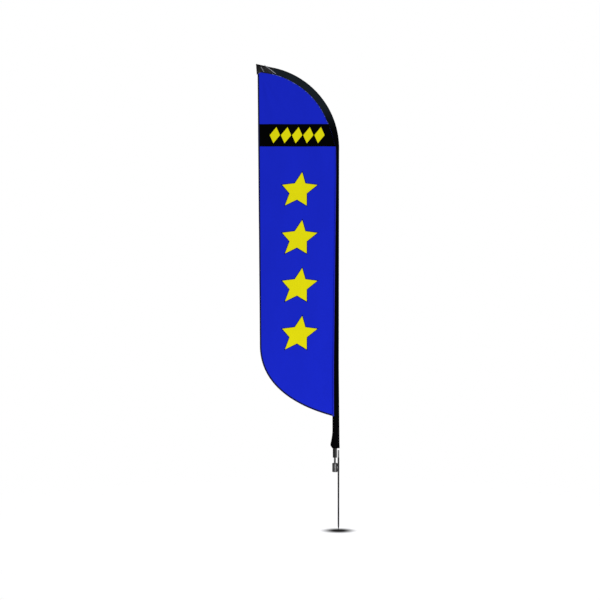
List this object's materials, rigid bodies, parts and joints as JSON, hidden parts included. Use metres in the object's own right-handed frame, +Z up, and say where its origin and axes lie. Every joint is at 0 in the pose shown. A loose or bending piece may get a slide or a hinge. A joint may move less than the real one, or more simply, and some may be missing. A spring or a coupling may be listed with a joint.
{
  "type": "feather flag with pole",
  "caption": "Tall feather-shaped cloth flag sleeved on a bent sectional pole, which slips over a ball-bearing spindle on a driven ground stake.",
  "frame": {"origin": "on the ground stake's axis at the ground line, 20 mm below the shoulder of the driven shank", "axes": "+Z up along the stake and the pole, the flag flies towards -X from the pole, +Y is normal to the cloth"},
  "size_m": [0.7646, 0.048, 4.2655],
  "materials": {
    "galvanised_steel": "satin",
    "weld_metal": "satin",
    "plated_steel": "satin",
    "bearing_steel": "polished",
    "brass_cage": "satin",
    "black_rubber": "matte",
    "black_tube": "satin",
    "black_composite": "gloss",
    "ring_aluminium": "satin",
    "black_nylon": "matte",
    "printed_cloth": "matte",
    "binding_tape": "matte",
    "sleeve_cloth": "satin",
    "pocket_vinyl": "gloss",
    "webbing": "matte"
  },
  "bodies": {
    "stake": {"stake_rod": "galvanised_steel", "bearing_housing": "galvanised_steel", "weld_beads": "weld_metal", "housing_cap": "plated_steel", "lower_outer_ring": "bearing_steel", "upper_outer_ring": "bearing_steel", "outer_spacer": "plated_steel", "retaining_ring": "plated_steel", "dust_seal": "black_rubber"},
    "lower_ball_set": {"lower_balls": "bearing_steel", "lower_cage": "brass_cage"},
    "upper_ball_set": {"upper_balls": "bearing_steel", "upper_cage": "brass_cage"},
    "spindle": {"spindle_shaft": "plated_steel", "lower_inner_ring": "bearing_steel", "upper_inner_ring": "bearing_steel", "inner_spacer": "plated_steel", "spindle_washer": "plated_steel", "spindle_nut": "plated_steel", "spigot_o_rings": "black_rubber"},
    "pole": {"base_tube": "black_tube", "foot_bush": "black_nylon", "stop_bush": "black_nylon", "second_tube": "black_tube", "third_tube": "black_tube", "fourth_tube": "black_composite", "tip_rod": "black_composite", "base_joint_ring": "ring_aluminium", "second_joint_ring": "ring_aluminium", "third_joint_ring": "ring_aluminium", "fourth_joint_ring": "ring_aluminium", "tip_cap": "black_rubber", "tension_collar": "black_nylon", "collar_screw": "plated_steel", "tension_strap": "webbing", "flag_panel": "printed_cloth", "edge_binding": "binding_tape", "straight_sleeve": "sleeve_cloth", "curved_sleeve": "sleeve_cloth", "tip_pocket": "pocket_vinyl", "sleeve_hem": "sleeve_cloth"}
  },
  "joints": [
    {"name": "flag_spin", "type": "hinge", "parent": "stake", "child": "spindle", "pos_m": [-0.033, 0, 0], "axis": [0, 0, 1], "continuous": true},
    {"name": "lower_balls_roll", "type": "hinge", "parent": "stake", "child": "lower_ball_set", "pos_m": [-0.033, 0, 0], "axis": [0, 0, 1], "continuous": true},
    {"name": "upper_balls_roll", "type": "hinge", "parent": "stake", "child": "upper_ball_set", "pos_m": [-0.033, 0, 0], "axis": [0, 0, 1], "continuous": true},
    {"name": "pole_lift", "type": "slide", "parent": "spindle", "child": "pole", "axis": [0, 0, 1], "range_m": [0, 0.19]}
  ],
  "couplings": [
    {"joint": "lower_balls_roll", "follows": "flag_spin", "ratio": 0.381},
    {"joint": "upper_balls_roll", "follows": "flag_spin", "ratio": 0.381}
  ]
}
